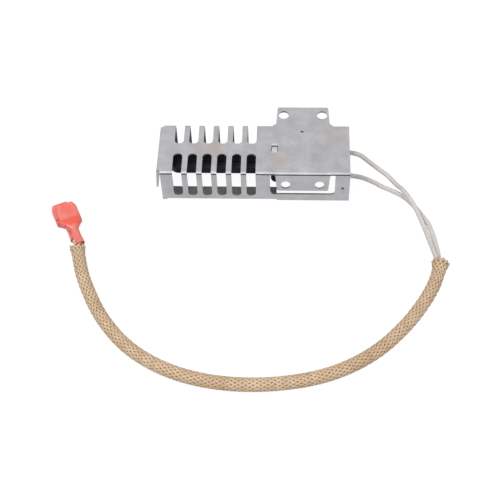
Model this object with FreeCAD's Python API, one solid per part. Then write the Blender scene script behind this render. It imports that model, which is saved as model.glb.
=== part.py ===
import FreeCAD, Part
import math
import os

from FreeCAD import Rotation, Vector

# Hot surface igniter for a gas oven. All lengths are in millimetres.
# X runs along the guard towards the leads, Y from the front wall to the rear tab, Z up from the floor.
# The guard is drawn from its front left corner, and the finished part is moved so that its origin
# lies on the floor under the middle of the guard.

# Guard, folded from one sheet
sheet = 0.9
fold_radius = 1.3
guard_length = 95.0
guard_depth = 32.2
guard_height = 20.3
wall_start = 1.8
corner_relief = 1.7
flap_height = 12.8
flap_splay = 4.0
flange_depth = 7.9
flange_start = 4.0
flange_end = 58.9

# Cooling slots, alike at the front and the rear
slot_count = 6
slot_pitch = 7.28
slot_first = 10.05
slot_width = 4.6
slot_reach = 12.7
slot_drop = 17.0
slot_corner = 2.0

# Mounting tabs, cut free from the walls
tab_centre = 71.8
window_width = 32.1
window_drop = 15.7
window_corner = 2.0
rear_tab_length = 12.25
rear_tab_root = 27.1
rear_tab_tip = 25.7
rear_hole = 5.2
rear_hole_spacing = 19.4
rear_hole_reach = 7.0
rear_tab_fillet = 1.5
front_tab_length = 11.3
front_tab_root = 27.0
front_tab_tip = 25.2
front_tab_tilt = 7.0
front_hole = 4.7
front_hole_spacing = 16.65
front_hole_reach = 7.5
tab_corner = 1.0

# Lanced stop tongue and two punch marks
lance_offset = 2.1
lance_width = 3.3
lance_length = 5.0
lance_gap = 0.3
lance_dip = 0.9
lance_start = 13.75
lance_corner = 1.2
mark_radius = 1.6
mark_depth = 0.3
plate_mark_x = 71.4
plate_mark_y = 28.0
wall_mark_x = 91.6
wall_mark_z = 9.4

# How far a cutter starts before the face that it cuts, and ends beyond it
overshoot = 3.0

# Silicon carbide element
element_tip = 5.8
element_width = 15.6
element_thickness = 5.0
element_drop = 5.0
element_corner = 4.0
element_edge = 0.6
slit_width = 1.0
tip_bridge = 4.5
root_bridge = 4.0
shoulder_start = 56.0
shoulder_width = 26.6
shoulder_length = 4.0
shoulder_corner = 3.0
shoulder_fillet = 1.0
root_length = 7.3
inner_root = 2.0

# Ceramic base, and the cement that holds the element in it
base_length = 20.7
base_width = 20.8
base_height = 11.1
base_corner = 1.5
joint_gap = 0.3
pocket_clearance = 0.8

# Contact clips inside the base
clip_sheet = 0.4
clip_inset = 0.4
clip_grip = 5.0
clip_barrel = 2.2
clip_bore = 1.4
clip_barrel_length = 4.4

# Leads and sleeve
lead_diameter = 2.4
lead_hole = 2.8
lead_spacing = 9.0
conductor = 1.3
sleeve_outer = 6.6
sleeve_bore = 5.8
arc_share = 0.45

# Insulated terminals
housing_width = 9.6
housing_thickness = 4.4
housing_length = 11.0
housing_corner = 1.5
housing_wall = 0.7
shoulder_taper = 2.2
barrel_length = 7.6
barrel_outer = 4.2
barrel_bore = 3.2
receptacle_sheet = 0.4
receptacle_gap = 0.25
receptacle_length = 7.4
receptacle_inset = 1.0
receptacle_corner = 0.9
receptacle_seam = 0.7
crimp_outer = 3.0
crimp_bore = 2.5
crimp_length = 7.0
crimp_inset = 2.0
crimp_stop = 1.0
neck_width = 1.6

# Terminals, in the finished part's frame: the end of each barrel, and the way that its mouth faces
front_terminal = Vector(-87.1, -50.6, 2.2)
front_terminal_faces = Vector(-0.38, 0.93, 0)
rear_terminal = Vector(-83.7, -52.4, 5.35)
rear_terminal_faces = Vector(-0.44, 0.90, 0.14)

# Routes, in the finished part's frame, from the base to the terminals
rear_route = [(37.0, -1.0, 12.9), (51.8, -1.6, 14.0), (58.4, -1.6, 6.8), (63.4, -2.6, 2.4), (68.4, -6.4, 1.25),
              (72.0, -12.0, 1.25), (74.9, -18.0, 6.6), (78.7, -25.4, 6.6), (81.2, -32.4, 1.9),
              (84.1, -39.6, 1.25), (86.7, -47.4, 1.5), (90.2, -56.2, 4.2), (87.3, -69.9, 4.2),
              (81.8, -82.4, 4.2), (71.7, -97.2, 4.2), (56.6, -112.7, 4.2), (36.7, -123.7, 4.2),
              (12.9, -128.7, 4.2), (-11.3, -128.7, 4.2), (-34.1, -123.2, 4.2), (-53.6, -111.5, 4.2),
              (-67.8, -94.5, 4.2), (-76.2, -77.7, 4.2), (-81.0, -63.6, 4.2), (-82.7, -54.5, 4.95)]
front_route = [(38.6, -9.9, 12.8), (46.9, -9.3, 5.2), (54.3, -8.6, 3.2), (60.3, -10.0, 1.25),
               (65.2, -13.6, 1.25), (70.8, -16.4, 1.25), (75.6, -19.9, 1.25), (79.3, -24.2, 1.25),
               (82.3, -29.6, 1.25), (86.1, -35.8, 1.25), (88.7, -43.2, 1.25), (90.1, -50.0, 1.4),
               (91.9, -56.6, 2.4), (89.1, -70.5, 2.4), (83.4, -83.2, 2.4), (73.1, -98.4, 2.4),
               (57.8, -114.1, 2.4), (37.3, -125.5, 2.4), (13.1, -130.5, 2.4), (-11.5, -130.5, 2.4),
               (-34.7, -124.8, 2.4), (-54.8, -112.9, 2.4), (-69.4, -95.5, 2.4), (-77.8, -78.3, 2.4),
               (-82.8, -64.0, 2.4), (-86.0, -53.1, 2.2)]
sleeve_route = [(90.1, -61.9), (88.2, -70.2), (82.6, -82.8), (72.4, -97.8), (57.2, -113.4), (37.0, -124.6),
                (13.0, -129.6), (-11.4, -129.6), (-34.4, -124.0), (-54.2, -112.2), (-68.6, -95.0),
                (-77.0, -78.0), (-80.6, -67.9), (-83.0, -58.6)]

middle = guard_depth / 2
top = guard_height
under = guard_height - sheet
window_left = tab_centre - window_width / 2
window_right = tab_centre + window_width / 2
element_top = top - element_drop
element_middle = element_top - element_thickness / 2
leg_width = (element_width - 3 * slit_width) / 4
shoulder_end = shoulder_start + shoulder_length
base_start = shoulder_end + joint_gap
base_end = base_start + base_length
root_end = base_start + root_length
clip_end = root_end + clip_sheet + clip_barrel_length
terminal_length = housing_length + shoulder_taper + barrel_length


def block(x0, x1, y0, y1, z0, z1):
    return Part.makeBox(x1 - x0, y1 - y0, z1 - z0, Vector(x0, y0, z0))


def rod(diameter, start, along):
    return Part.makeCylinder(diameter / 2, along.Length, start, along)


def mirrored(shape):
    """The shape at the other side of the guard's centreline."""
    return shape.mirror(Vector(0, middle, 0), Vector(0, 1, 0))


def rounded_wire(points, radii):
    """A closed wire through the points, with a tangent arc of the given radius at each."""
    edges = []
    first = None
    last = None
    for i, point in enumerate(points):
        start = end = point
        if radii[i] > 0:
            before = points[i - 1] - point
            after = points[(i + 1) % len(points)] - point
            half = before.getAngle(after) / 2
            reach = radii[i] / math.tan(half)
            before.normalize()
            after.normalize()
            start = point + before * reach
            end = point + after * reach
            bisector = (before + after).normalize()
            crown = point + bisector * (radii[i] / math.sin(half) - radii[i])
        if last is None:
            first = start
        else:
            edges.append(Part.makeLine(last, start))
        if radii[i] > 0:
            edges.append(Part.Arc(start, crown, end).toShape())
        last = end
    edges.append(Part.makeLine(last, first))
    return Part.Wire(edges)


def prism(points, radii, extrusion):
    return Part.Face(rounded_wire(points, radii)).extrude(extrusion)


def plan(x0, x1, y0, y1, z):
    """A rectangle's corners at one height, from the left front one round to the left rear one."""
    return [Vector(x0, y0, z), Vector(x1, y0, z), Vector(x1, y1, z), Vector(x0, y1, z)]


def bent_sheet(path, side, extrusion):
    """A bent sheet. The path is its outer face, and the inner face lies towards side x direction."""
    inner = []
    for i, point in enumerate(path):
        normals = []
        if i > 0:
            normals.append(side.cross(path[i] - path[i - 1]).normalize())
        if i < len(path) - 1:
            normals.append(side.cross(path[i + 1] - path[i]).normalize())
        if len(normals) == 1:
            inner.append(point + normals[0] * sheet)
        else:
            both = normals[0] + normals[1]
            inner.append(point + both * (sheet / (1 + normals[0].dot(normals[1]))))
    bends = len(path) - 2
    radii = [0] + [fold_radius] * bends + [0, 0] + [fold_radius - sheet] * bends + [0]
    return prism(path + inner[::-1], radii, extrusion)


def channel(x0, x1, flanged):
    """The guard's top with its two walls, and with a flange turned in under each wall if asked."""
    walls = [(0, 0), (0, top), (guard_depth, top), (guard_depth, 0)]
    if flanged:
        walls = [(flange_depth, 0)] + walls + [(guard_depth - flange_depth, 0)]
    path = [Vector(x0, y, z) for y, z in walls]
    return bent_sheet(path, Vector(-1, 0, 0), Vector(x1 - x0, 0, 0))


def end_flap():
    """The left end, folded down from the top and standing a little open."""
    splay = math.radians(flap_splay)
    down = Vector(-math.sin(splay), 0, -math.cos(splay)) * flap_height
    corner = Vector(0, corner_relief, top)
    path = [corner + Vector(wall_start, 0, 0), corner, corner + down]
    return bent_sheet(path, Vector(0, -1, 0), Vector(0, guard_depth - 2 * corner_relief, 0))


def end_margin():
    """The plate beside the end flap, chamfered at both corners."""
    points = [
        Vector(fold_radius, corner_relief, under),
        Vector(wall_start, fold_radius, under),
        Vector(wall_start, guard_depth - fold_radius, under),
        Vector(fold_radius, guard_depth - corner_relief, under),
    ]
    return prism(points, [0] * 4, Vector(0, 0, sheet))


def slot_tools():
    """Cutters for each slot in the top plate and down the front wall, and its mirror at the rear."""
    tools = []
    out = -overshoot
    high = top + overshoot
    low = top - slot_drop
    radii = [0, 0, slot_corner, slot_corner]
    for i in range(slot_count):
        x0 = slot_first + i * slot_pitch - slot_width / 2
        x1 = x0 + slot_width
        wall = [Vector(x0, out, high), Vector(x1, out, high), Vector(x1, out, low), Vector(x0, out, low)]
        pair = [prism(plan(x0, x1, out, slot_reach, under - sheet), radii, Vector(0, 0, high - under + sheet)),
                prism(wall, radii, Vector(0, overshoot + fold_radius, 0))]
        tools += pair + [mirrored(tool) for tool in pair]
    return tools


def window_tool():
    """The opening that a tab leaves in the front wall."""
    out = -overshoot
    high = top - fold_radius
    low = top - window_drop
    points = [Vector(window_left, out, high), Vector(window_right, out, high),
              Vector(window_right, out, low), Vector(window_left, out, low)]
    return prism(points, [0, 0, window_corner, window_corner], Vector(0, overshoot + fold_radius, 0))


def tab_plate(root, tip, length, hole, spacing, reach):
    """A flat tab with two holes, lying along +Y from its root, its upper face at height 0."""
    points = [Vector(-root / 2, 0, -sheet), Vector(root / 2, 0, -sheet),
              Vector(tip / 2, length, -sheet), Vector(-tip / 2, length, -sheet)]
    plate = prism(points, [0, 0, tab_corner, tab_corner], Vector(0, 0, sheet))
    for side in (-1, 1):
        plate = plate.cut(rod(hole, Vector(side * spacing / 2, reach, -sheet), Vector(0, 0, sheet)))
    return plate


def rear_tab():
    """The rear tab goes on from the plate, with a small fillet at each side of its root."""
    wide = rear_tab_root / 2 + rear_tab_fillet
    tab = tab_plate(rear_tab_root, rear_tab_tip, rear_tab_length, rear_hole, rear_hole_spacing, rear_hole_reach)
    tab = tab.fuse(Part.makeBox(2 * wide, fold_radius, sheet, Vector(-wide, -fold_radius, -sheet)))
    for side in (-1, 1):
        x = side * rear_tab_root / 2
        outside = x + side * rear_tab_fillet
        inside = x - side * rear_tab_fillet
        web = prism([Vector(inside, 0, -sheet), Vector(outside, 0, -sheet),
                     Vector(outside, rear_tab_fillet, -sheet), Vector(inside, rear_tab_fillet, -sheet)],
                    [0] * 4, Vector(0, 0, sheet))
        round_cut = rod(2 * rear_tab_fillet, Vector(outside, rear_tab_fillet, -sheet), Vector(0, 0, sheet))
        tab = tab.fuse(web.cut(round_cut))
    tab.translate(Vector(tab_centre, guard_depth, top))
    return tab


def front_tab():
    """The front tab's bend and its flat, which hangs a little forward of the wall."""
    tilt = math.radians(front_tab_tilt)
    setback = fold_radius * math.tan((math.pi / 2 - tilt) / 2)
    down = Vector(0, -math.sin(tilt), -math.cos(tilt))
    corner = Vector(tab_centre - front_tab_root / 2, 0, top)
    path = [corner + down * (setback + sheet), corner, corner + Vector(0, fold_radius, 0)]
    bend = bent_sheet(path, Vector(-1, 0, 0), Vector(front_tab_root, 0, 0))
    flat = tab_plate(front_tab_root, front_tab_tip, front_tab_length, front_hole, front_hole_spacing,
                     front_hole_reach)
    flat = flat.cut(block(-front_tab_root, front_tab_root, 0, setback, -sheet, 0))
    flat = flat.mirror(Vector(0, 0, 0), Vector(0, 1, 0))
    flat.rotate(Vector(0, 0, 0), Vector(1, 0, 0), 90 - front_tab_tilt)
    flat.translate(Vector(tab_centre, 0, top))
    return [bend, flat]


def lance():
    """The hole that the stop tongue was cut from, and the tongue that dips through it."""
    x = window_left + lance_offset
    half = lance_width / 2
    y1 = lance_start + lance_length
    hole = prism(plan(x - half, x + half, lance_start, y1, under - sheet),
                 [lance_corner, lance_corner, lance_gap, lance_gap], Vector(0, 0, 3 * sheet))
    bend = lance_start + lance_gap
    root = lance_start - 2 * lance_gap
    end = y1 - lance_gap
    left = x - half + lance_gap
    side = [Vector(left, y, z) for y, z in [(root, top), (bend, top), (end, top - lance_dip),
                                            (end, under - lance_dip), (bend, under), (root, under)]]
    return hole, prism(side, [0] * 6, Vector(lance_width - 2 * lance_gap, 0, 0))


def make_guard():
    body = channel(wall_start, flange_start, False)
    body = body.fuse([channel(flange_start, flange_end, True), channel(flange_end, guard_length, False),
                      end_flap(), end_margin()])
    body = body.cut(slot_tools() + [window_tool(), mirrored(window_tool())])
    front = front_tab_root / 2
    rear = rear_tab_root / 2 + rear_tab_fillet
    far = guard_depth - fold_radius
    body = body.cut([block(tab_centre - front, tab_centre + front, 0, fold_radius, under - sheet, top),
                     block(tab_centre - rear, tab_centre + rear, far, guard_depth, under - sheet, top)])
    hole, tongue = lance()
    body = body.cut(hole).fuse(front_tab() + [rear_tab(), tongue])
    marks = [Vector(plate_mark_x, plate_mark_y, top + mark_radius - mark_depth),
             Vector(wall_mark_x, mark_depth - mark_radius, wall_mark_z)]
    return body.cut([Part.makeSphere(mark_radius, mark) for mark in marks]).removeSplitter()


def make_element():
    """One plate with a wide shoulder and a root, slit into four legs that run to and fro along it."""
    z = element_top - element_thickness
    half = element_width / 2
    wide = shoulder_width / 2
    front = [(element_tip, half, element_corner), (shoulder_start, half, shoulder_fillet),
             (shoulder_start, wide, shoulder_corner), (shoulder_end, wide, 0), (shoulder_end, half, 0),
             (root_end, half, 0)]
    points = [Vector(x, middle - y, z) for x, y, r in front]
    points += [Vector(x, middle + y, z) for x, y, r in front[::-1]]
    radii = [r for x, y, r in front]
    plate = prism(points, radii + radii[::-1], Vector(0, 0, element_thickness))
    rims = [e for e in plate.Edges if e.BoundBox.ZLength < 0.01 and e.BoundBox.XMax < shoulder_end - 0.01]
    plate = plate.makeFillet(element_edge, rims)
    nose = slit_width * 0.499
    for i in range(3):
        y = middle - half + leg_width + i * (leg_width + slit_width)
        x0 = element_tip + tip_bridge
        x1 = root_end + overshoot
        radii = [nose, 0, 0, nose]
        if i == 1:
            x0 = element_tip - overshoot
            x1 = base_start + inner_root - root_bridge
            radii = [0, nose, nose, 0]
        tool = prism(plan(x0, x1, y, y + slit_width, z), radii, Vector(0, 0, element_thickness))
        plate = plate.cut(tool)
    inner = leg_width + slit_width
    return plate.cut(block(base_start + inner_root, root_end, middle - inner, middle + inner, z, element_top))


def pocket():
    """The space for the element's root, from the shoulder's face to the end of the clips."""
    half = element_width / 2 + pocket_clearance
    z0 = element_top - element_thickness - pocket_clearance
    return block(shoulder_end, root_end + clip_sheet, middle - half, middle + half, z0,
                 element_top + pocket_clearance)


def lead_exits(x):
    """Where the two leads' middles lie in the base, the front one first."""
    return [Vector(x, middle + side * lead_spacing / 2, element_middle) for side in (-1, 1)]


def make_base():
    """The ceramic base: a pocket for the element's root and a passage for each lead."""
    y0 = middle - base_width / 2
    body = prism(plan(base_start, base_end, y0, y0 + base_width, under - base_height),
                 [0, base_corner, base_corner, 0], Vector(0, 0, base_height))
    passages = [rod(lead_hole, start, Vector(base_end - root_end, 0, 0)) for start in lead_exits(root_end)]
    return body.cut([pocket()] + passages)


def make_clip(exit_point, side):
    """A folded clip that grips an outer leg's end and closes round the lead's conductor."""
    outer = middle + side * (element_width / 2 - clip_inset)
    inner = middle + side * (element_width / 2 - leg_width + clip_inset)
    z0 = element_top - element_thickness
    y0, y1 = sorted((outer, inner))
    grip = block(root_end - clip_grip, root_end + clip_sheet, y0, y1, z0 - clip_sheet, element_top + clip_sheet)
    grip = grip.cut(block(root_end - clip_grip, root_end, y0, y1, z0, element_top))
    link0, link1 = sorted((outer, exit_point.y - side * clip_barrel / 2))
    link = block(root_end, root_end + clip_sheet, link0, link1, element_middle - clip_barrel / 2,
                 element_middle + clip_barrel / 2)
    start = exit_point + Vector(clip_sheet, 0, 0)
    barrel = rod(clip_barrel, start, Vector(clip_barrel_length, 0, 0))
    barrel = barrel.cut(rod(clip_bore, start, Vector(clip_barrel_length, 0, 0)))
    return grip.fuse([link, barrel]).removeSplitter()


def make_cement(others):
    """The cement that fills the pocket around the root and the clips, and backs the shoulder."""
    margin = pocket_clearance
    layer = block(shoulder_end, base_start, middle - base_width / 2, middle + base_width / 2,
                  element_top - element_thickness - margin, element_top + margin)
    return pocket().fuse(layer).cut(others).removeSplitter()


def tube_path(points):
    """Straight runs joined by tangent arcs, each as large as its shorter run allows."""
    edges = []
    radii = []
    last = points[0]
    for i in range(1, len(points) - 1):
        back = points[i - 1] - points[i]
        ahead = points[i + 1] - points[i]
        turn = math.pi - back.getAngle(ahead)
        reach = arc_share * min(back.Length, ahead.Length)
        radius = reach / math.tan(turn / 2)
        radii.append(round(radius, 1))
        back.normalize()
        ahead.normalize()
        start = points[i] + back * reach
        end = points[i] + ahead * reach
        crown = points[i] + (back + ahead).normalize() * (radius / math.cos(turn / 2) - radius)
        edges.append(Part.LineSegment(last, start).toShape())
        edges.append(Part.Arc(start, crown, end).toShape())
        last = end
    edges.append(Part.LineSegment(last, points[-1]).toShape())
    return Part.Wire(edges), radii


def tube(name, points, outer, bore):
    """A tube along a route, with its length, its radii and its volume against section x length."""
    wire, radii = tube_path(points)

    def swept(diameter):
        circle = Part.Wire(Part.makeCircle(diameter / 2, points[0], points[1] - points[0]))
        return wire.makePipeShell([circle], True, False)

    solid = swept(outer)
    area = math.pi * outer ** 2 / 4
    if bore:
        solid = solid.cut(swept(bore))
        area -= math.pi * bore ** 2 / 4
    print(name, "length", round(wire.Length, 1), "least radius", min(radii), "radii", radii)
    print(name, "volume over section x length", round(solid.Volume / (area * wire.Length), 4))
    return solid


def make_lead(name, start, route, terminal, faces):
    """A lead from its clip to its crimp, with the bare end of its conductor in the clip's barrel."""
    facing = Vector(faces).normalize()
    end = terminal + facing * (crimp_inset + crimp_length - crimp_stop)
    points = [start] + [Vector(*point) for point in route] + [end]
    bare = rod(conductor, start - Vector(clip_barrel_length, 0, 0), Vector(clip_barrel_length, 0, 0))
    return tube(name, points, lead_diameter, 0).fuse(bare)


def box_section(x, width, thickness, corner):
    y, z = width / 2, thickness / 2
    points = [Vector(x, -y, -z), Vector(x, y, -z), Vector(x, y, z), Vector(x, -y, z)]
    return rounded_wire(points, [corner] * 4)


def make_housing():
    """A moulded insulator along +X: a flat box for the receptacle, a shoulder and a round barrel."""
    box_wire = box_section(0, housing_width, housing_thickness, housing_corner)
    body = Part.Face(box_wire).extrude(Vector(housing_length, 0, 0))
    x1 = housing_length + shoulder_taper
    round_wire = Part.Wire(Part.makeCircle(barrel_outer / 2, Vector(x1, 0, 0), Vector(1, 0, 0)))
    taper = Part.makeLoft([box_section(housing_length, housing_width, housing_thickness, housing_corner),
                           round_wire], True)
    body = body.fuse([taper, rod(barrel_outer, Vector(x1, 0, 0), Vector(barrel_length, 0, 0))])
    cavity = Part.Face(box_section(0, housing_width - 2 * housing_wall, housing_thickness - 2 * housing_wall,
                                   housing_corner - housing_wall / 2)).extrude(Vector(housing_length, 0, 0))
    bore = rod(barrel_bore, Vector(housing_length, 0, 0), Vector(shoulder_taper + barrel_length, 0, 0))
    return body.cut([cavity, bore]).removeSplitter()


def make_receptacle():
    """The rolled receptacle in the housing, joined by a neck to its crimp barrel."""
    width = housing_width - 2 * housing_wall - 2 * receptacle_gap
    thick = housing_thickness - 2 * housing_wall - 2 * receptacle_gap
    x1 = housing_length - receptacle_gap - receptacle_inset
    x0 = x1 - receptacle_length
    along = Vector(receptacle_length, 0, 0)
    shell = Part.Face(box_section(x0, width, thick, receptacle_corner)).extrude(along)
    hollow = Part.Face(box_section(x0, width - 2 * receptacle_sheet, thick - 2 * receptacle_sheet,
                                   receptacle_corner - receptacle_sheet))
    shell = shell.cut(hollow.extrude(along))
    shell = shell.cut(block(x0, x1, -receptacle_seam / 2, receptacle_seam / 2, 0, thick / 2))
    crimp_end = terminal_length - crimp_inset
    crimp_start = crimp_end - crimp_length
    floor = -thick / 2
    neck = block(x1 - receptacle_sheet, crimp_start + receptacle_sheet, -neck_width / 2, neck_width / 2, floor,
                 floor + receptacle_sheet)
    crimp = rod(crimp_outer, Vector(crimp_start, 0, 0), Vector(crimp_length, 0, 0))
    body = shell.fuse([neck, crimp])
    return body.cut(rod(crimp_bore, Vector(crimp_start, 0, 0), Vector(crimp_length, 0, 0))).removeSplitter()


def seated(shape, terminal, faces):
    """A terminal's piece, drawn along +X from its mouth, put with its barrel's end at its place."""
    turn = Rotation(Vector(faces) * -1, Vector(0, 0, 0), Vector(0, 0, 1), "XZY")
    placed = shape.copy()
    placed.translate(Vector(-terminal_length, 0, 0))
    placed.Placement = FreeCAD.Placement(terminal, turn).multiply(placed.Placement)
    return placed


guard = make_guard()
element = make_element()
base = make_base()
front_exit, rear_exit = lead_exits(root_end)
clips = [make_clip(front_exit, -1), make_clip(rear_exit, 1)]
cement = make_cement([element] + clips)
box = guard.BoundBox
origin = Vector((box.XMin + box.XMax) / 2, (box.YMin + box.YMax) / 2, 0)

parts = {
    "guard": guard,
    "element": element,
    "base_block": base,
    "cement": cement,
    "contact_front": clips[0],
    "contact_rear": clips[1],
}
for shape in parts.values():
    shape.translate(-origin)

front_start, rear_start = [place - origin for place in lead_exits(clip_end)]
parts["lead_front"] = make_lead("lead_front", front_start, front_route, front_terminal, front_terminal_faces)
parts["lead_rear"] = make_lead("lead_rear", rear_start, rear_route, rear_terminal, rear_terminal_faces)
sleeve_line = [Vector(x, y, sleeve_outer / 2) for x, y in sleeve_route]
parts["sleeve"] = tube("sleeve", sleeve_line, sleeve_outer, sleeve_bore)
housing = make_housing()
receptacle = make_receptacle()
for side, terminal, faces in [("front", front_terminal, front_terminal_faces),
                              ("rear", rear_terminal, rear_terminal_faces)]:
    parts["terminal_housing_" + side] = seated(housing, terminal, faces)
    parts["receptacle_" + side] = seated(receptacle, terminal, faces)

os.makedirs("parts", exist_ok=True)
print("origin", origin)
for name, shape in parts.items():
    print(name, "solids", len(shape.Solids), "valid", shape.isValid(), "volume", round(shape.Volume, 1),
          "low", round(shape.BoundBox.ZMin, 3))
    shape.exportStep("parts/" + name + ".step")
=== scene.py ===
import math
import random

import bmesh
import bpy
from mathutils import Matrix, Vector


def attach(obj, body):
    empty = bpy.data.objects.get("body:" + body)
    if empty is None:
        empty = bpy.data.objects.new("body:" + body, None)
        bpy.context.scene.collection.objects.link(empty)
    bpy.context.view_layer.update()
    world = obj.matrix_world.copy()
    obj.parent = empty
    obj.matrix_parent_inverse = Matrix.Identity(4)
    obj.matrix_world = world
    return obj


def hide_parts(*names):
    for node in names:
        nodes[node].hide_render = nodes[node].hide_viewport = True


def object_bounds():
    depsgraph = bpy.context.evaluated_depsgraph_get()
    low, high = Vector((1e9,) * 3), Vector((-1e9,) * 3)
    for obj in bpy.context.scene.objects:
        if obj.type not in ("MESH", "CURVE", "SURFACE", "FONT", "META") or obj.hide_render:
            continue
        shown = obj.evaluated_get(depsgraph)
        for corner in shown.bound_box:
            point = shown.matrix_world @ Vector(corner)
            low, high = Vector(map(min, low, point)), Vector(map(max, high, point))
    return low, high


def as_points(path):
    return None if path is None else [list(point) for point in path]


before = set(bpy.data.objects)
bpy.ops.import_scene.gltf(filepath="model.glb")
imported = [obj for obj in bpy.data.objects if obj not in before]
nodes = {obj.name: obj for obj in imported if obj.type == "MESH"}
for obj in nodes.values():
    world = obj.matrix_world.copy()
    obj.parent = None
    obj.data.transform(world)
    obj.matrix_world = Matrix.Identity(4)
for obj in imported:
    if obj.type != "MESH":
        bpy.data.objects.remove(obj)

cad_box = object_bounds()


# Guard. One blank of 0.9 mm aluminised sheet steel, pierced, then folded into a channel with
# turned-in flanges. The coat is dull and even, with faint rolling lines along the blank, and
# the heat of the element has tinted it straw in a few places. Cut edges show the bare steel.

def linear(value):
    """An sRGB hex colour as a linear one."""
    parts = [int(value[i:i + 2], 16) / 255 for i in (0, 2, 4)]
    return [c / 12.92 if c <= 0.04045 else ((c + 0.055) / 1.055) ** 2.4 for c in parts] + [1]


def add(material, kind, settings=(), links=()):
    """Adds a shader node with its settings, and links other nodes' sockets into it."""
    tree = material.node_tree
    node = tree.nodes.new("ShaderNode" + kind)
    for name, value in dict(settings).items():
        if isinstance(name, int) or name in node.inputs:
            node.inputs[name].default_value = value
        else:
            setattr(node, name, value)
    for name, socket in dict(links).items():
        tree.links.new(socket, node.inputs[name])
    return node


def new_material(name, settings):
    """A material with a Principled shader that has these values on its sockets."""
    material = bpy.data.materials.new(name)
    material.use_nodes = True
    shader = material.node_tree.nodes["Principled BSDF"]
    for socket, value in settings.items():
        shader.inputs[socket].default_value = value
    return material, shader


def join(material, shader, links):
    """Links sockets into a material's shader."""
    for name, socket in links.items():
        material.node_tree.links.new(socket, shader.inputs[name])


def paint_spot(material, colour, hexed, place, spot, inner, outer, strength):
    """The colour, painted over with another round a spot: at this strength out to the inner reach, and
    fading to nothing at the outer one."""
    away = add(material, "VectorMath", {"operation": "DISTANCE", 1: spot}, {0: place})
    fade = {"From Min": inner, "From Max": outer, "To Min": strength, "To Max": 0.0}
    mask = add(material, "MapRange", fade, {"Value": away.outputs["Value"]})
    return add(material, "Mix", {"data_type": "RGBA", 7: linear(hexed)},
               {"Factor": mask.outputs[0], 6: colour}).outputs[2]


def paint_zone(material, colour, hexed, strength, limits):
    """The colour, painted over with another at this strength where each value lies between its low and
    its high limit, and fading to nothing over the soft margin outside them."""
    mask = None
    for value, low, high, soft in limits:
        half = (high - low) / 2
        full = strength if mask is None else 1.0
        fade = {"From Min": half, "From Max": half + soft, "To Min": full, "To Max": 0.0}
        moved = add(material, "Math", {"operation": "SUBTRACT", 1: (low + high) / 2}, {0: value})
        away = add(material, "Math", {"operation": "ABSOLUTE"}, {0: moved.outputs[0]})
        share = add(material, "MapRange", fade, {"Value": away.outputs[0]})
        if mask is not None:
            share = add(material, "Math", {"operation": "MULTIPLY"},
                        {0: mask.outputs[0], 1: share.outputs[0]})
        mask = share
    return add(material, "Mix", {"data_type": "RGBA", 7: linear(hexed)},
               {"Factor": mask.outputs[0], 6: colour}).outputs[2]


# the plate's upper face is the highest point of the part
plate_top = cad_box[1][2]
sheet = 0.0009
# the outer faces of the two long walls
wall_front, wall_rear = -0.02154, 0.01066
# past every face of the guard, and a margin so narrow that the zone ends sharply there
beyond = 0.1
sharp = 0.00001

steel, steel_shader = new_material("aluminised_sheet_steel", {"Metallic": 0.9})
place = add(steel, "TexCoord").outputs["Object"]
axes = add(steel, "SeparateXYZ", {}, {0: place}).outputs
normal = add(steel, "NewGeometry").outputs["True Normal"]
looks = add(steel, "VectorMath", {"operation": "ABSOLUTE"}, {0: normal})
facing = add(steel, "SeparateXYZ", {}, {0: looks.outputs[0]}).outputs
# rolling lines: 0.25 mm wide and 12 mm long
rolled = add(steel, "Mapping", {"Scale": (80, 4000, 4000)}, {"Vector": place})
lines = add(steel, "TexNoise", {"Scale": 1.0, "Detail": 3.0, "Roughness": 0.6}, {"Vector": rolled.outputs[0]})
# cloudy patches in the dip coat: about 7 mm
clouds = add(steel, "TexNoise", {"Scale": 140.0, "Detail": 4.0, "Roughness": 0.6}, {"Vector": place})
# spangle of the coat, 0.4 mm
grain = add(steel, "TexNoise", {"Scale": 2400.0, "Detail": 3.0, "Roughness": 0.65}, {"Vector": place})
mixed = add(steel, "Mix", {"data_type": "FLOAT", "Factor": 0.2}, {2: clouds.outputs[0], 3: lines.outputs[0]})
mixed = add(steel, "Mix", {"data_type": "FLOAT", "Factor": 0.45}, {2: mixed.outputs[0], 3: grain.outputs[0]})
coat = add(steel, "ValToRGB", {}, {"Fac": mixed.outputs[0]})
coat.color_ramp.elements[0].position = 0.34
coat.color_ramp.elements[0].color = linear("a09fa3")
coat.color_ramp.elements[1].position = 0.66
coat.color_ramp.elements[1].color = linear("c0bfc3")
# the coat's colour, to which the straw tints, painted shade and a painted highlight are laid on below
tints_and_painted_light = coat.outputs[0]
# straw tints where the heat of the element has reached the plate and the bars
for spot, reach, strength in [((-0.0200, -0.0045, plate_top), 0.010, 0.40),
                              ((0.0115, -0.0120, plate_top), 0.008, 0.35),
                              ((0.0420, 0.0030, plate_top), 0.012, 0.25),
                              ((-0.0195, wall_front, 0.012), 0.008, 0.25)]:
    tints_and_painted_light = paint_spot(steel, tints_and_painted_light, "b49c84", place, spot, 0.0, reach, strength)

# painted shade along the two long folds: a dark reflection line of 0.6 mm just below each bend
for low, high in [(-beyond, wall_front + 0.0004), (wall_rear - 0.0004, beyond)]:
    tints_and_painted_light = paint_zone(steel, tints_and_painted_light, "2c2b2e", 0.95, [
        (axes[2], plate_top - 0.0012, plate_top - 0.0007, 0.0001), (axes[1], low, high, sharp)])

# sheared edges are bare and dark: faces of the sheet's thickness that look along X, and the ones
# that look along Y inside the plate
for limits in [[(facing[0], 0.999, 1.1, sharp)],
               [(facing[1], 0.9, 1.1, sharp), (axes[2], plate_top - 0.00085, beyond, sharp)]]:
    tints_and_painted_light = paint_zone(steel, tints_and_painted_light, "59585c", 0.75, limits)

# painted highlight on the stop tongue and the edge of its hole, where their edges catch the light
tints_and_painted_light = paint_zone(steel, tints_and_painted_light, "dcdbde", 0.75, [
    (axes[0], 0.0092, 0.0124, 0.0002), (axes[1], -0.0070, -0.0026, 0.0012), (axes[2], 0.0180, beyond, sharp)])
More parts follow.
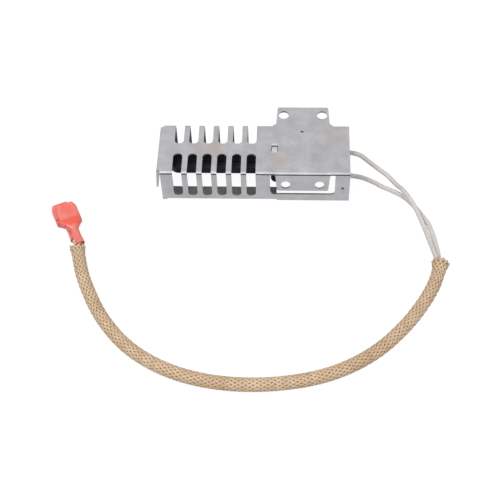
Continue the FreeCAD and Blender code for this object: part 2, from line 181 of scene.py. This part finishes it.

# painted shade inside the channel round the element, up to the plate's underside, but not on the end flap,
# which stands past the plate's end
tints_and_painted_light = paint_zone(steel, tints_and_painted_light, "343236", 0.8, [
    (axes[0], -0.0460, beyond, sharp), (axes[0], -0.060, 0.004, 0.014),
    (axes[1], wall_front + 0.00074, wall_rear - 0.00076, 0.0001),
    (axes[2], 0.0015, plate_top - sheet + 0.00002, 0.00004)])

# painted shade at the bottom of the two punch marks
for mark in [(0.02435, 0.00646, 0.0201), (0.04455, -0.02134, 0.0094)]:
    tints_and_painted_light = paint_spot(steel, tints_and_painted_light, "2b2a2c", place, mark, 0.0005, 0.0010, 0.9)

rough = add(steel, "MapRange", {"To Min": 0.40, "To Max": 0.56}, {"Value": clouds.outputs[0]})
bump = add(steel, "Bump", {"Strength": 0.2, "Distance": 0.00004}, {"Height": grain.outputs[0]})
join(steel, steel_shader, {"Base Color": tints_and_painted_light, "Roughness": rough.outputs[0], "Normal": bump.outputs[0]})


def dress(name, material):
    """Gives a CAD node its material."""
    node = nodes[name]
    node.data.materials.clear()
    node.data.materials.append(material)


dress("guard", steel)


# Element. Recrystallised silicon carbide, cut from one plate into four legs that run to and
# fro, with a wide shoulder and a root. It is nearly black, with a fine grain that sparkles.

carbide, carbide_shader = new_material("silicon_carbide", {"IOR": 1.45, "Specular IOR Level": 0.35})
place = add(carbide, "TexCoord").outputs["Object"]
# grit of 0.4 mm, and smoky patches of 6 mm
grit = add(carbide, "TexVoronoi", {"Scale": 2600.0}, {"Vector": place})
smoke = add(carbide, "TexNoise", {"Scale": 160.0, "Detail": 3.0}, {"Vector": place})
shade = add(carbide, "Mix", {"data_type": "RGBA", 6: linear("0c0d10"), 7: linear("1d2024")},
            {"Factor": smoke.outputs[0]})
shade = paint_spot(carbide, shade.outputs[2], "0e1c2e", place, (-0.0125, -0.005, 0.0153), 0.003, 0.013, 0.75)
shine = add(carbide, "MapRange", {"To Min": 0.4, "To Max": 0.75}, {"Value": grit.outputs["Color"]})
bump = add(carbide, "Bump", {"Strength": 0.3, "Distance": 0.00005}, {"Height": grit.outputs["Distance"]})
join(carbide, carbide_shader, {"Base Color": shade, "Roughness": shine.outputs[0], "Normal": bump.outputs[0]})
dress("element", carbide)


# Base block, cement and contact clips. The block is pressed steatite, cream and unglazed; the
# cement that holds the element's root in it is cast in place and chalky; each clip is folded
# from nickel strip and closed round its lead's conductor.

steatite, steatite_shader = new_material("unglazed_steatite", {"Roughness": 0.75, "IOR": 1.55})
place = add(steatite, "TexCoord").outputs["Object"]
# speckle of 2 mm
speck = add(steatite, "TexNoise", {"Scale": 500.0, "Detail": 4.0, "Roughness": 0.65}, {"Vector": place})
shade = add(steatite, "Mix", {"data_type": "RGBA", 6: linear("cfc8b8"), 7: linear("e6e1d4")},
            {"Factor": speck.outputs[0]})
bump = add(steatite, "Bump", {"Strength": 0.2, "Distance": 0.0001}, {"Height": speck.outputs[0]})
join(steatite, steatite_shader, {"Base Color": shade.outputs[2], "Normal": bump.outputs[0]})
dress("base_block", steatite)

chalk, chalk_shader = new_material("cast_ceramic_cement", {"Roughness": 0.9})
place = add(chalk, "TexCoord").outputs["Object"]
# mottle of 1 mm
speck = add(chalk, "TexNoise", {"Scale": 900.0, "Detail": 5.0, "Roughness": 0.7}, {"Vector": place})
shade = add(chalk, "Mix", {"data_type": "RGBA", 6: linear("aea999"), 7: linear("cfcabb")},
            {"Factor": speck.outputs[0]})
bump = add(chalk, "Bump", {"Strength": 0.5, "Distance": 0.0002}, {"Height": speck.outputs[0]})
join(chalk, chalk_shader, {"Base Color": shade.outputs[2], "Normal": bump.outputs[0]})
dress("cement", chalk)

nickel, nickel_shader = new_material("rolled_nickel_strip", {"Metallic": 1.0, "Roughness": 0.35})
place = add(nickel, "TexCoord").outputs["Object"]
# rolling lines: 0.2 mm wide and 5 mm long
rolled = add(nickel, "Mapping", {"Scale": (200, 5000, 5000)}, {"Vector": place})
lines = add(nickel, "TexNoise", {"Scale": 1.0, "Detail": 2.0}, {"Vector": rolled.outputs[0]})
shade = add(nickel, "Mix", {"data_type": "RGBA", 6: linear("9d978c"), 7: linear("bdb7ab")},
            {"Factor": lines.outputs[0]})
join(nickel, nickel_shader, {"Base Color": shade.outputs[2]})
dress("contact_front", nickel)
dress("contact_rear", nickel)


# Leads. Each is a stranded nickel conductor in a glass fibre braid, 2.4 mm over the braid,
# off-white and dull. They come out of the base side by side, cross once, and run together
# through the sleeve. Where they show, the braid's yarns are laid one by one.

lead_diameter = 0.0024
# no yarn lies lower than this above the floor
floor_clearance = 0.00003
rear_route = [(25.35, -0.936, 12.8), (37.0, -1.0, 12.9), (51.8, -1.6, 14.0), (58.4, -1.6, 6.8),
              (63.4, -2.6, 2.4), (68.4, -6.4, 1.25), (72.0, -12.0, 1.25), (74.9, -18.0, 4.6),
              (78.7, -25.4, 4.6), (81.3, -30.6, 3.3), (84.3, -38.6, 1.25), (86.3, -46.6, 1.25),
              (87.6, -54.0, 2.6), (88.9, -60.6, 4.2), (87.9, -69.9, 4.2), (81.8, -82.4, 4.2),
              (71.7, -97.2, 4.2), (56.6, -112.7, 4.2), (36.7, -123.7, 4.2), (12.9, -128.7, 4.2),
              (-11.3, -128.7, 4.2), (-34.1, -123.2, 4.2), (-53.6, -111.5, 4.2), (-67.8, -94.5, 4.2),
              (-76.2, -77.7, 4.2), (-81.4, -63.8, 4.2), (-82.2, -57.5, 4.35), (-82.5, -54.6, 5.1),
              (-86.12, -45.99, 6.96)]
front_route = [(25.35, -9.936, 12.8), (38.6, -9.9, 12.8), (46.9, -9.3, 5.2), (54.3, -8.6, 3.2),
               (60.3, -10.0, 1.25), (65.2, -13.6, 1.25), (70.8, -16.4, 1.25), (75.6, -19.9, 1.25),
               (79.3, -24.2, 1.25), (82.4, -29.4, 1.25), (86.3, -35.8, 1.25), (88.3, -43.2, 1.25),
               (89.4, -50.2, 1.25), (90.1, -57.6, 1.9), (89.4, -70.5, 2.4), (83.4, -83.2, 2.4),
               (73.1, -98.4, 2.4), (57.8, -114.1, 2.4), (37.3, -125.5, 2.4), (13.1, -130.5, 2.4),
               (-11.5, -130.5, 2.4), (-34.7, -124.8, 2.4), (-54.8, -112.9, 2.4), (-69.4, -95.5, 2.4),
               (-77.8, -78.3, 2.4), (-82.3, -64.4, 2.4), (-84.6, -52.2, 2.3), (-90.03, -41.16, 2.3)]


def route_line(points):
    """The points along the NURBS spline that has these control points, which are in millimetres."""
    curve = bpy.data.curves.new("route", "CURVE")
    curve.dimensions = "3D"
    spline = curve.splines.new("NURBS")
    spline.points.add(len(points) - 1)
    for point, (x, y, z) in zip(spline.points, points):
        point.co = (x / 1000, y / 1000, z / 1000, 1)
    spline.order_u = 3
    spline.use_endpoint_u = True
    spline.resolution_u = 12
    holder = bpy.data.objects.new("route", curve)
    bpy.context.scene.collection.objects.link(holder)
    mesh = bpy.data.meshes.new_from_object(holder)
    line = [vertex.co.copy() for vertex in mesh.vertices]
    bpy.data.objects.remove(holder)
    bpy.data.meshes.remove(mesh)
    return line


class Lay:
    """A line with its length so far and a sideways direction that doesn't twist at each point."""

    def __init__(self, line):
        self.line = line
        self.along = [0.0]
        for a, b in zip(line, line[1:]):
            self.along.append(self.along[-1] + (b - a).length)
        self.length = self.along[-1]
        self.ways = [(b - a).normalized() for a, b in zip(line, line[1:])]
        self.ways.append(self.ways[-1])
        side = self.ways[0].cross(Vector((0, 0, 1))).normalized()
        self.sides = []
        for way in self.ways:
            side = (side - way * side.dot(way)).normalized()
            self.sides.append(side)

    def at(self, s):
        """The point, direction and sideways direction s along the line."""
        low, high = 0, len(self.along) - 2
        while low < high:
            middle = (low + high + 1) // 2
            if self.along[middle] <= s:
                low = middle
            else:
                high = middle - 1
        t = (s - self.along[low]) / max(self.along[low + 1] - self.along[low], 1e-9)
        way = self.ways[low].lerp(self.ways[low + 1], min(max(t, 0), 1)).normalized()
        side = self.sides[low].lerp(self.sides[low + 1], min(max(t, 0), 1)).normalized()
        return self.line[low].lerp(self.line[low + 1], t), way, side

    def around(self, s, angle, radius):
        """The point at this angle and radius round the line, s along it, and never in the floor."""
        point, way, side = self.at(s)
        point = point + (side * math.cos(angle) + way.cross(side) * math.sin(angle)) * radius
        point.z = max(point.z, floor_clearance)
        return point


def laid_grid(bm, rows, columns, length, slot, place):
    """A flat grid whose points are put where place says, from 0 to 1 along it and once round it. The
    yarn map holds the length along it in metres, and the share of the way round."""
    fibres = bm.loops.layers.uv.verify()
    made = bmesh.ops.create_grid(bm, x_segments=rows, y_segments=columns, size=0.5, calc_uvs=True)
    for face in {face for vertex in made["verts"] for face in vertex.link_faces}:
        face.material_index = slot
        face.smooth = True
        for corner in face.loops:
            x, y = corner.vert.co.x + 0.5, corner.vert.co.y + 0.5
            corner[fibres].uv = (x * length, y)
    for vertex in made["verts"]:
        vertex.co = place(vertex.co.x + 0.5, (vertex.co.y + 0.5) * 2 * math.pi)


def add_tube(bm, lay, start, end, step, segments, radius_at, slot):
    """A tube of rings round the line, from a grid that is rolled up and laid along it."""
    def place(share, angle):
        s = start + (end - start) * share
        return lay.around(s, angle, radius_at(s))
    laid_grid(bm, max(2, round((end - start) / step)), segments, end - start, slot, place)


yarn_sides = 6


def add_braid(bm, lay, start, end, radius_at, slot, step, carriers, turn, yarn, wave, passes, ragged):
    """The yarns of a braid. This many carriers turn each way, by this many radians a metre, over one or
    two others at a time. Each yarn is a grid that is rolled into a flat lens section of this width and
    height, and laid along its helix, in and out by the wave. Its ends are ragged by up to so much."""
    width, height = yarn
    for way in (1, -1):
        for carrier in range(carriers):
            first = start + random.uniform(0, ragged)
            last = end - random.uniform(0, ragged)

            def place(share, section):
                s = first + (last - first) * share
                radius = radius_at(s)
                across = math.cos(section) * width / 2 * way
                lift = math.sin(section) * height / 2
                # how many yarns of the other way it has crossed by here
                crossed = carriers * turn * s / math.pi
                if passes == 1:
                    over = way * math.cos(math.pi * crossed) * wave
                else:
                    quarter = math.pi * (carrier - 0.25)
                    over = way * math.cos(math.pi / 2 * crossed * way + quarter) * wave
                # the yarn's width lies across its own helix
                slope = math.atan(turn * radius)
                angle = 2 * math.pi * carrier / carriers + way * turn * s + across * math.cos(slope) / radius
                return lay.around(s - way * across * math.sin(slope), angle, radius + lift + over)

            laid_grid(bm, round((last - first) / step), yarn_sides, last - first, slot, place)


def finish_mesh(name, bm, materials):
    """Closes the seams and ends of a laid mesh, turns its faces outwards and makes its object."""
    bmesh.ops.remove_doubles(bm, verts=bm.verts, dist=1e-7)
    rims = [edge for edge in bm.edges if len(edge.link_faces) == 1]
    bmesh.ops.holes_fill(bm, edges=rims, sides=0)
    bmesh.ops.recalc_face_normals(bm, faces=bm.faces)
    mesh = bpy.data.meshes.new(name)
    bm.to_mesh(mesh)
    bm.free()
    for material in materials:
        mesh.materials.append(material)
    piece = bpy.data.objects.new(name, mesh)
    bpy.context.scene.collection.objects.link(piece)
    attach(piece, "root")
    return piece


glass, glass_shader = new_material("glass_fibre_braid", {"Roughness": 0.75, "Sheen Weight": 0.1})
along = add(glass, "TexCoord").outputs["UV"]
# fibres in each yarn: 0.1 mm across and 2.5 mm long
drawn = add(glass, "Mapping", {"Scale": (400, 14, 1)}, {"Vector": along})
fibres = add(glass, "TexNoise", {"Scale": 1.0, "Detail": 3.0}, {"Vector": drawn.outputs[0]})
shade = add(glass, "Mix", {"data_type": "RGBA", 6: linear("b5afaa"), 7: linear("e2dedb")},
            {"Factor": fibres.outputs[0]})
bump = add(glass, "Bump", {"Strength": 0.4, "Distance": 0.00005}, {"Height": fibres.outputs[0]})
join(glass, glass_shader, {"Base Color": shade.outputs[2], "Normal": bump.outputs[0]})
# the shaded core between the yarns
under_glass = new_material("lead_under_braid", {"Roughness": 0.9, "Base Color": linear("8f8882")})[0]

random.seed(11)
lead_braid = {"step": 0.0004, "carriers": 8, "turn": 620.0, "yarn": (0.00076, 0.00014), "wave": 0.0001,
              "passes": 2, "ragged": 0.0}
lead_middle = lead_diameter / 2 - lead_braid["yarn"][1] / 2 - lead_braid["wave"]
lead_core = lead_middle - 0.00012
# the yarns are laid where they show: on the way to the sleeve, and past it at the other end
way_to_sleeve = (0.006, 0.110)
past_sleeve = 0.024
# the stripped end of the conductor, from inside the braid to the far side of its clip
bare_in_braid = 0.0005
bare_length = 0.0044
bare_radius = 0.00065
leads = {}
for side, route in [("front", front_route), ("rear", rear_route)]:
    lay = Lay(route_line(route))
    bm = bmesh.new()
    add_tube(bm, lay, 0, lay.length, step=0.0015, segments=16, radius_at=lambda s: lead_core, slot=1)
    for start, end in [way_to_sleeve, (lay.length - past_sleeve, lay.length)]:
        add_braid(bm, lay, start, end, radius_at=lambda s: lead_middle, slot=0, **lead_braid)
    piece = finish_mesh("braided_lead_" + side, bm, [glass, under_glass])
    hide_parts("lead_" + side)

    bm = bmesh.new()
    bare = Lay([lay.line[0] - Vector((bare_length, 0, 0)), lay.line[0] + Vector((bare_in_braid, 0, 0))])
    add_tube(bm, bare, 0, bare.length, step=0.002, segments=12, radius_at=lambda s: bare_radius, slot=0)
    conductor = finish_mesh("bare_conductor_" + side, bm, [nickel])
    leads[side] = (piece, lay, conductor)


# Sleeve. A tube braided from varnished glass yarn, tan, 6.6 mm across, cut off at both ends,
# where the yarns spread and fray a little. It is slipped over the two leads.

sleeve_diameter = 0.0066
sleeve_route = [(90.4, -61.7), (88.6, -70.2), (82.6, -82.8), (72.4, -97.8), (57.2, -113.4), (37.0, -124.6),
                (13.0, -129.6), (-11.4, -129.6), (-34.4, -124.0), (-54.2, -112.2), (-68.6, -95.0),
                (-77.0, -78.0), (-81.2, -67.0), (-84.0, -54.7)]

varnished, varnished_shader = new_material("varnished_glass_sleeve", {"Roughness": 0.5, "Sheen Weight": 0.1})
along = add(varnished, "TexCoord").outputs["UV"]
# fibres in each yarn: 0.2 mm across and 3 mm long, and the varnish lies uneven over 8 mm
drawn = add(varnished, "Mapping", {"Scale": (330, 12, 1)}, {"Vector": along})
fibres = add(varnished, "TexNoise", {"Scale": 1.0, "Detail": 3.0}, {"Vector": drawn.outputs[0]})
place = add(varnished, "TexCoord").outputs["Object"]
pooled = add(varnished, "TexNoise", {"Scale": 120.0, "Detail": 2.0}, {"Vector": place})
mixed = add(varnished, "Mix", {"data_type": "FLOAT", "Factor": 0.35},
            {2: fibres.outputs[0], 3: pooled.outputs[0]})
shade = add(varnished, "ValToRGB", {}, {"Fac": mixed.outputs[0]})
shade.color_ramp.elements[0].position = 0.36
shade.color_ramp.elements[0].color = linear("b08e67")
shade.color_ramp.elements[1].position = 0.64
shade.color_ramp.elements[1].color = linear("d2ba9f")
bump = add(varnished, "Bump", {"Strength": 0.5, "Distance": 0.0001}, {"Height": fibres.outputs[0]})
join(varnished, varnished_shader, {"Base Color": shade.outputs[0], "Normal": bump.outputs[0]})
# the varnish between the yarns is coloured darker than the yarns: painted shade in the gaps, over the
# varnish's own tan
inner, inner_shader = new_material("varnish_with_painted_shade_between_yarns", {"Roughness": 0.6})
# thick and thin places of 2.5 mm
place = add(inner, "TexCoord").outputs["Object"]
pooled = add(inner, "TexNoise", {"Scale": 400.0, "Detail": 2.0}, {"Vector": place})
shade = add(inner, "Mix", {"data_type": "RGBA", 6: linear("866236"), 7: linear("a57f50")},
            {"Factor": pooled.outputs[0]})
join(inner, inner_shader, {"Base Color": shade.outputs[2]})

# it lies on the floor, so its line is half its diameter up, here in millimetres as the route is
sleeve_height = sleeve_diameter / 2 * 1000
sleeve_lay = Lay(route_line([(x, y, sleeve_height) for x, y in sleeve_route]))
sleeve_braid = {"step": 0.00044, "carriers": 10, "turn": 195.0, "yarn": (0.0013, 0.0003), "wave": 0.00016,
                "passes": 1, "ragged": 0.0006}
sleeve_middle = sleeve_diameter / 2 - sleeve_braid["yarn"][1] / 2 - sleeve_braid["wave"]
# how far each mouth spreads, and over how much of its length
right_spread, right_reach = 0.0012, 0.007
left_spread, left_reach = 0.0008, 0.005
# the film of varnish that closes the gaps between the yarns, inside their middle
film_depth = 0.00022
film_wall = 0.00015


def sleeve_radius(s):
    """The middle of the braid's wall, which spreads at both mouths, more at the right one."""
    right = max(0.0, 1 - s / right_reach) ** 2
    left = max(0.0, 1 - (sleeve_lay.length - s) / left_reach) ** 2
    return sleeve_middle + right_spread * right + left_spread * left


bm = bmesh.new()
film_start = sleeve_braid["ragged"]
add_tube(bm, sleeve_lay, film_start, sleeve_lay.length - film_start, step=0.0015, segments=32,
         radius_at=lambda s: sleeve_radius(s) - film_depth, slot=1)
bmesh.ops.remove_doubles(bm, verts=bm.verts, dist=1e-7)
bmesh.ops.recalc_face_normals(bm, faces=bm.faces)
bmesh.ops.solidify(bm, geom=bm.faces[:], thickness=film_wall)
add_braid(bm, sleeve_lay, 0, sleeve_lay.length, radius_at=sleeve_radius, slot=0, **sleeve_braid)
sleeve = finish_mesh("braided_sleeve", bm, [varnished, inner])
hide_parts("sleeve")


# Terminals. Each has a receptacle rolled from tinned strip and crimped on its lead, inside a
# moulded insulator of clear red nylon: a flat box with chamfered mouth corners, a shoulder and a
# round barrel that flares at its end.

# two walls in front and two behind colour the light, so the nylon's own colour is paler than it looks
nylon, nylon_shader = new_material("translucent_red_nylon", {
    "Roughness": 0.3, "IOR": 1.53, "Transmission Weight": 0.35})
along = add(nylon, "TexCoord").outputs["UV"]
# flow lines of the moulding run from the barrel to the mouth: 17 mm long and 1.3 mm across
drawn = add(nylon, "Mapping", {"Scale": (60, 22, 1)}, {"Vector": along})
flow = add(nylon, "TexNoise", {"Scale": 1.0, "Detail": 3.0}, {"Vector": drawn.outputs[0]})
shade = add(nylon, "ValToRGB", {}, {"Fac": flow.outputs[0]})
shade.color_ramp.elements[0].position = 0.3
shade.color_ramp.elements[0].color = linear("f87267")
shade.color_ramp.elements[1].position = 0.7
shade.color_ramp.elements[1].color = linear("fd998b")
run = add(nylon, "SeparateXYZ", {}, {0: along}).outputs
# the web between the box and the barrel is thicker, and so deeper in colour
deep = paint_zone(nylon, shade.outputs[0], "f65a48", 0.8, [(run[0], 0.0095, 0.0125, 0.0015)])
bump = add(nylon, "Bump", {"Strength": 0.15, "Distance": 0.0001}, {"Height": flow.outputs[0]})
join(nylon, nylon_shader, {"Base Color": deep, "Normal": bump.outputs[0]})

tinned, tinned_shader = new_material("tinned_strip", {"Metallic": 1.0, "Roughness": 0.3})
place = add(tinned, "TexCoord").outputs["Object"]
# smears of the tin: 1.4 mm
smear = add(tinned, "TexNoise", {"Scale": 700.0, "Detail": 3.0}, {"Vector": place})
shade = add(tinned, "Mix", {"data_type": "RGBA", 6: linear("c9c5bb"), 7: linear("ebe8e0")},
            {"Factor": smear.outputs[0]})
join(tinned, tinned_shader, {"Base Color": shade.outputs[2]})

# The insulator's wall, once round from the mouth over the outside to the barrel's end and back
# inside: millimetres from the mouth, half width, half thickness, and how square the section is
insulator_wall = [(0.15, 3.9, 2.05, 7), (3.0, 5.0, 2.2, 8), (11.0, 5.05, 2.2, 8), (12.3, 3.9, 2.15, 4),
                  (14.8, 1.98, 1.95, 2), (19.0, 1.93, 1.93, 2), (23.5, 2.28, 2.28, 2), (23.65, 2.15, 2.15, 2),
                  (23.5, 1.96, 1.96, 2), (19.0, 1.62, 1.62, 2), (13.6, 1.62, 1.58, 2), (11.0, 4.0, 1.5, 5),
                  (10.4, 4.35, 1.5, 7), (3.0, 4.35, 1.5, 7), (0.15, 3.5, 1.5, 7), (0.0, 3.7, 1.75, 7),
                  (0.15, 3.9, 2.05, 7)]
insulator_length = max(point[0] for point in insulator_wall) / 1000
wall_step = 0.4
wall_sides = 56
ring = []
for a, b in zip(insulator_wall, insulator_wall[1:]):
    parts = max(1, round(math.hypot(b[0] - a[0], b[1] - a[1]) / wall_step))
    ring += [tuple(p + (q - p) * i / parts for p, q in zip(a, b)) for i in range(parts)]
ring.append(insulator_wall[-1])


def on_wall(share, angle):
    """A point of the insulator's wall, along +X from its mouth, in metres."""
    x, wide, thick, square = ring[round(share * (len(ring) - 1))]
    c, s = math.cos(angle), math.sin(angle)
    y = math.copysign(abs(c) ** (2 / square), c) * wide
    z = math.copysign(abs(s) ** (2 / square), s) * thick
    return Vector((x, y, z)) / 1000


def seat(end, faces):
    """The place of a terminal that is drawn along +X, with the end of its barrel at the origin."""
    x = -Vector(faces).normalized()
    z = (Vector((0, 0, 1)) - x * x.z).normalized()
    turn = Matrix((x, z.cross(x), z)).transposed().to_4x4()
    return Matrix.Translation(Vector(end) / 1000) @ turn


# the end of each barrel and the way its mouth faces: of the solid, and of the photographed one
solids = {"front": ((-87.1, -50.6, 2.2), (-0.38, 0.93, 0)),
          "rear": ((-83.7, -52.4, 5.35), (-0.44, 0.90, 0.14))}
photographed = {"front": ((-85.9, -49.6, 2.3), (-0.4394, 0.8983, 0)),
                "rear": ((-82.22, -54.46, 5.77), (-0.4144, 0.9013, 0.1267))}
# each receptacle sits deeper in its longer insulator
deeper = Matrix.Translation((-0.0023, 0, 0))
for side in ["front", "rear"]:
    placed = seat(*photographed[side])
    bm = bmesh.new()
    laid_grid(bm, len(ring) - 1, wall_sides, insulator_length, 0, on_wall)
    # along the yarn map's first axis it holds the distance from the mouth, in metres
    flow_map = bm.loops.layers.uv.verify()
    for face in bm.faces:
        for corner in face.loops:
            corner[flow_map].uv.x = corner.vert.co.x
    bmesh.ops.translate(bm, verts=bm.verts, vec=(-insulator_length, 0, 0))
    bmesh.ops.transform(bm, matrix=placed, verts=bm.verts)
    insulator = finish_mesh("push_on_insulator_" + side, bm, [nylon])
    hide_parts("terminal_housing_" + side)

    bm = bmesh.new()
    bm.from_mesh(nodes["receptacle_" + side].data)
    bmesh.ops.transform(bm, matrix=nodes["receptacle_" + side].matrix_world, verts=bm.verts)
    bmesh.ops.transform(bm, matrix=placed @ deeper @ seat(*solids[side]).inverted(), verts=bm.verts)
    receptacle = finish_mesh("rolled_receptacle_" + side, bm, [tinned])
    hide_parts("receptacle_" + side)

for side, y in [("front", -0.009936), ("rear", -0.000936)]:
    piece, lay, conductor = leads[side]
    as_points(lay.line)
tuple(sleeve_lay.line[0])
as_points(sleeve_lay.line)


# Floor, light and camera. The floor is white and keeps a faint shadow; the sky is white to the
# camera and in gloss, and soft on the object. One broad lamp stands above on the left, and a
# weaker one on the right.

def seen_directly(owner):
    """1 for camera, glossy and transmission rays, which see the white itself."""
    ray = add(owner, "LightPath")
    seen = add(owner, "Math", {"operation": "MAXIMUM"},
               {0: ray.outputs["Is Camera Ray"], 1: ray.outputs["Is Glossy Ray"]})
    return add(owner, "Math", {"operation": "MAXIMUM"},
               {0: seen.outputs[0], 1: ray.outputs["Is Transmission Ray"]}).outputs[0]


floor_drop = 0.00005
floor_mesh = bpy.data.meshes.new("floor")
bm = bmesh.new()
bmesh.ops.create_grid(bm, x_segments=1, y_segments=1, size=2.0)
bmesh.ops.translate(bm, verts=bm.verts, vec=(0, 0, -floor_drop))
bm.to_mesh(floor_mesh)
bm.free()
floor = bpy.data.objects.new("floor", floor_mesh)
bpy.context.scene.collection.objects.link(floor)
paper = bpy.data.materials.new("white_paper")
paper.use_nodes = True
paper.node_tree.nodes.clear()
pale = add(paper, "BsdfDiffuse", {"Color": linear("929292")})
faint = add(paper, "BsdfDiffuse", {"Color": linear("616161")})
glow = add(paper, "Emission", {"Color": linear("ffffff"), "Strength": 0.93})
bright = add(paper, "AddShader", {}, {0: faint.outputs[0], 1: glow.outputs[0]})
both = add(paper, "MixShader", {}, {0: seen_directly(paper), 1: pale.outputs[0], 2: bright.outputs[0]})
add(paper, "OutputMaterial", {}, {"Surface": both.outputs[0]})
floor_mesh.materials.append(paper)

world = bpy.data.worlds.new("studio")
bpy.context.scene.world = world
world.use_nodes = True
world.node_tree.nodes.clear()
soft = add(world, "Background", {"Color": linear("ffffff"), "Strength": 0.55})
white = add(world, "Background", {"Color": linear("ffffff"), "Strength": 1.0})
both = add(world, "MixShader", {}, {0: seen_directly(world), 1: soft.outputs[0], 2: white.outputs[0]})
add(world, "OutputWorld", {}, {"Surface": both.outputs[0]})

for name, place, size, power in [("key", (-0.5, -0.35, 0.9), 0.5, 7.0), ("fill", (0.6, -0.5, 0.6), 0.6, 3.0)]:
    lamp = bpy.data.lights.new(name, "AREA")
    lamp.size = size
    lamp.energy = power
    holder = bpy.data.objects.new(name, lamp)
    holder.location = place
    holder.rotation_euler = (Vector((0, -0.05, 0)) - Vector(place)).to_track_quat("-Z", "Y").to_euler()
    bpy.context.scene.collection.objects.link(holder)

camera_data = bpy.data.cameras.new("camera")
camera_data.lens = 81.30
camera_data.sensor_width = 36
camera_data.clip_start = 0.01
camera_data.clip_end = 20
camera = bpy.data.objects.new("camera", camera_data)
camera.matrix_world = Matrix([(0.99927, -0.00984, 0.03689, 0.01971), (0.02993, 0.80177, -0.59690, -0.37986),
                              (-0.02370, 0.59757, 0.80148, 0.43903), (0, 0, 0, 1)])
bpy.context.scene.collection.objects.link(camera)
bpy.context.scene.camera = camera
bpy.context.scene.view_settings.view_transform = "Standard"
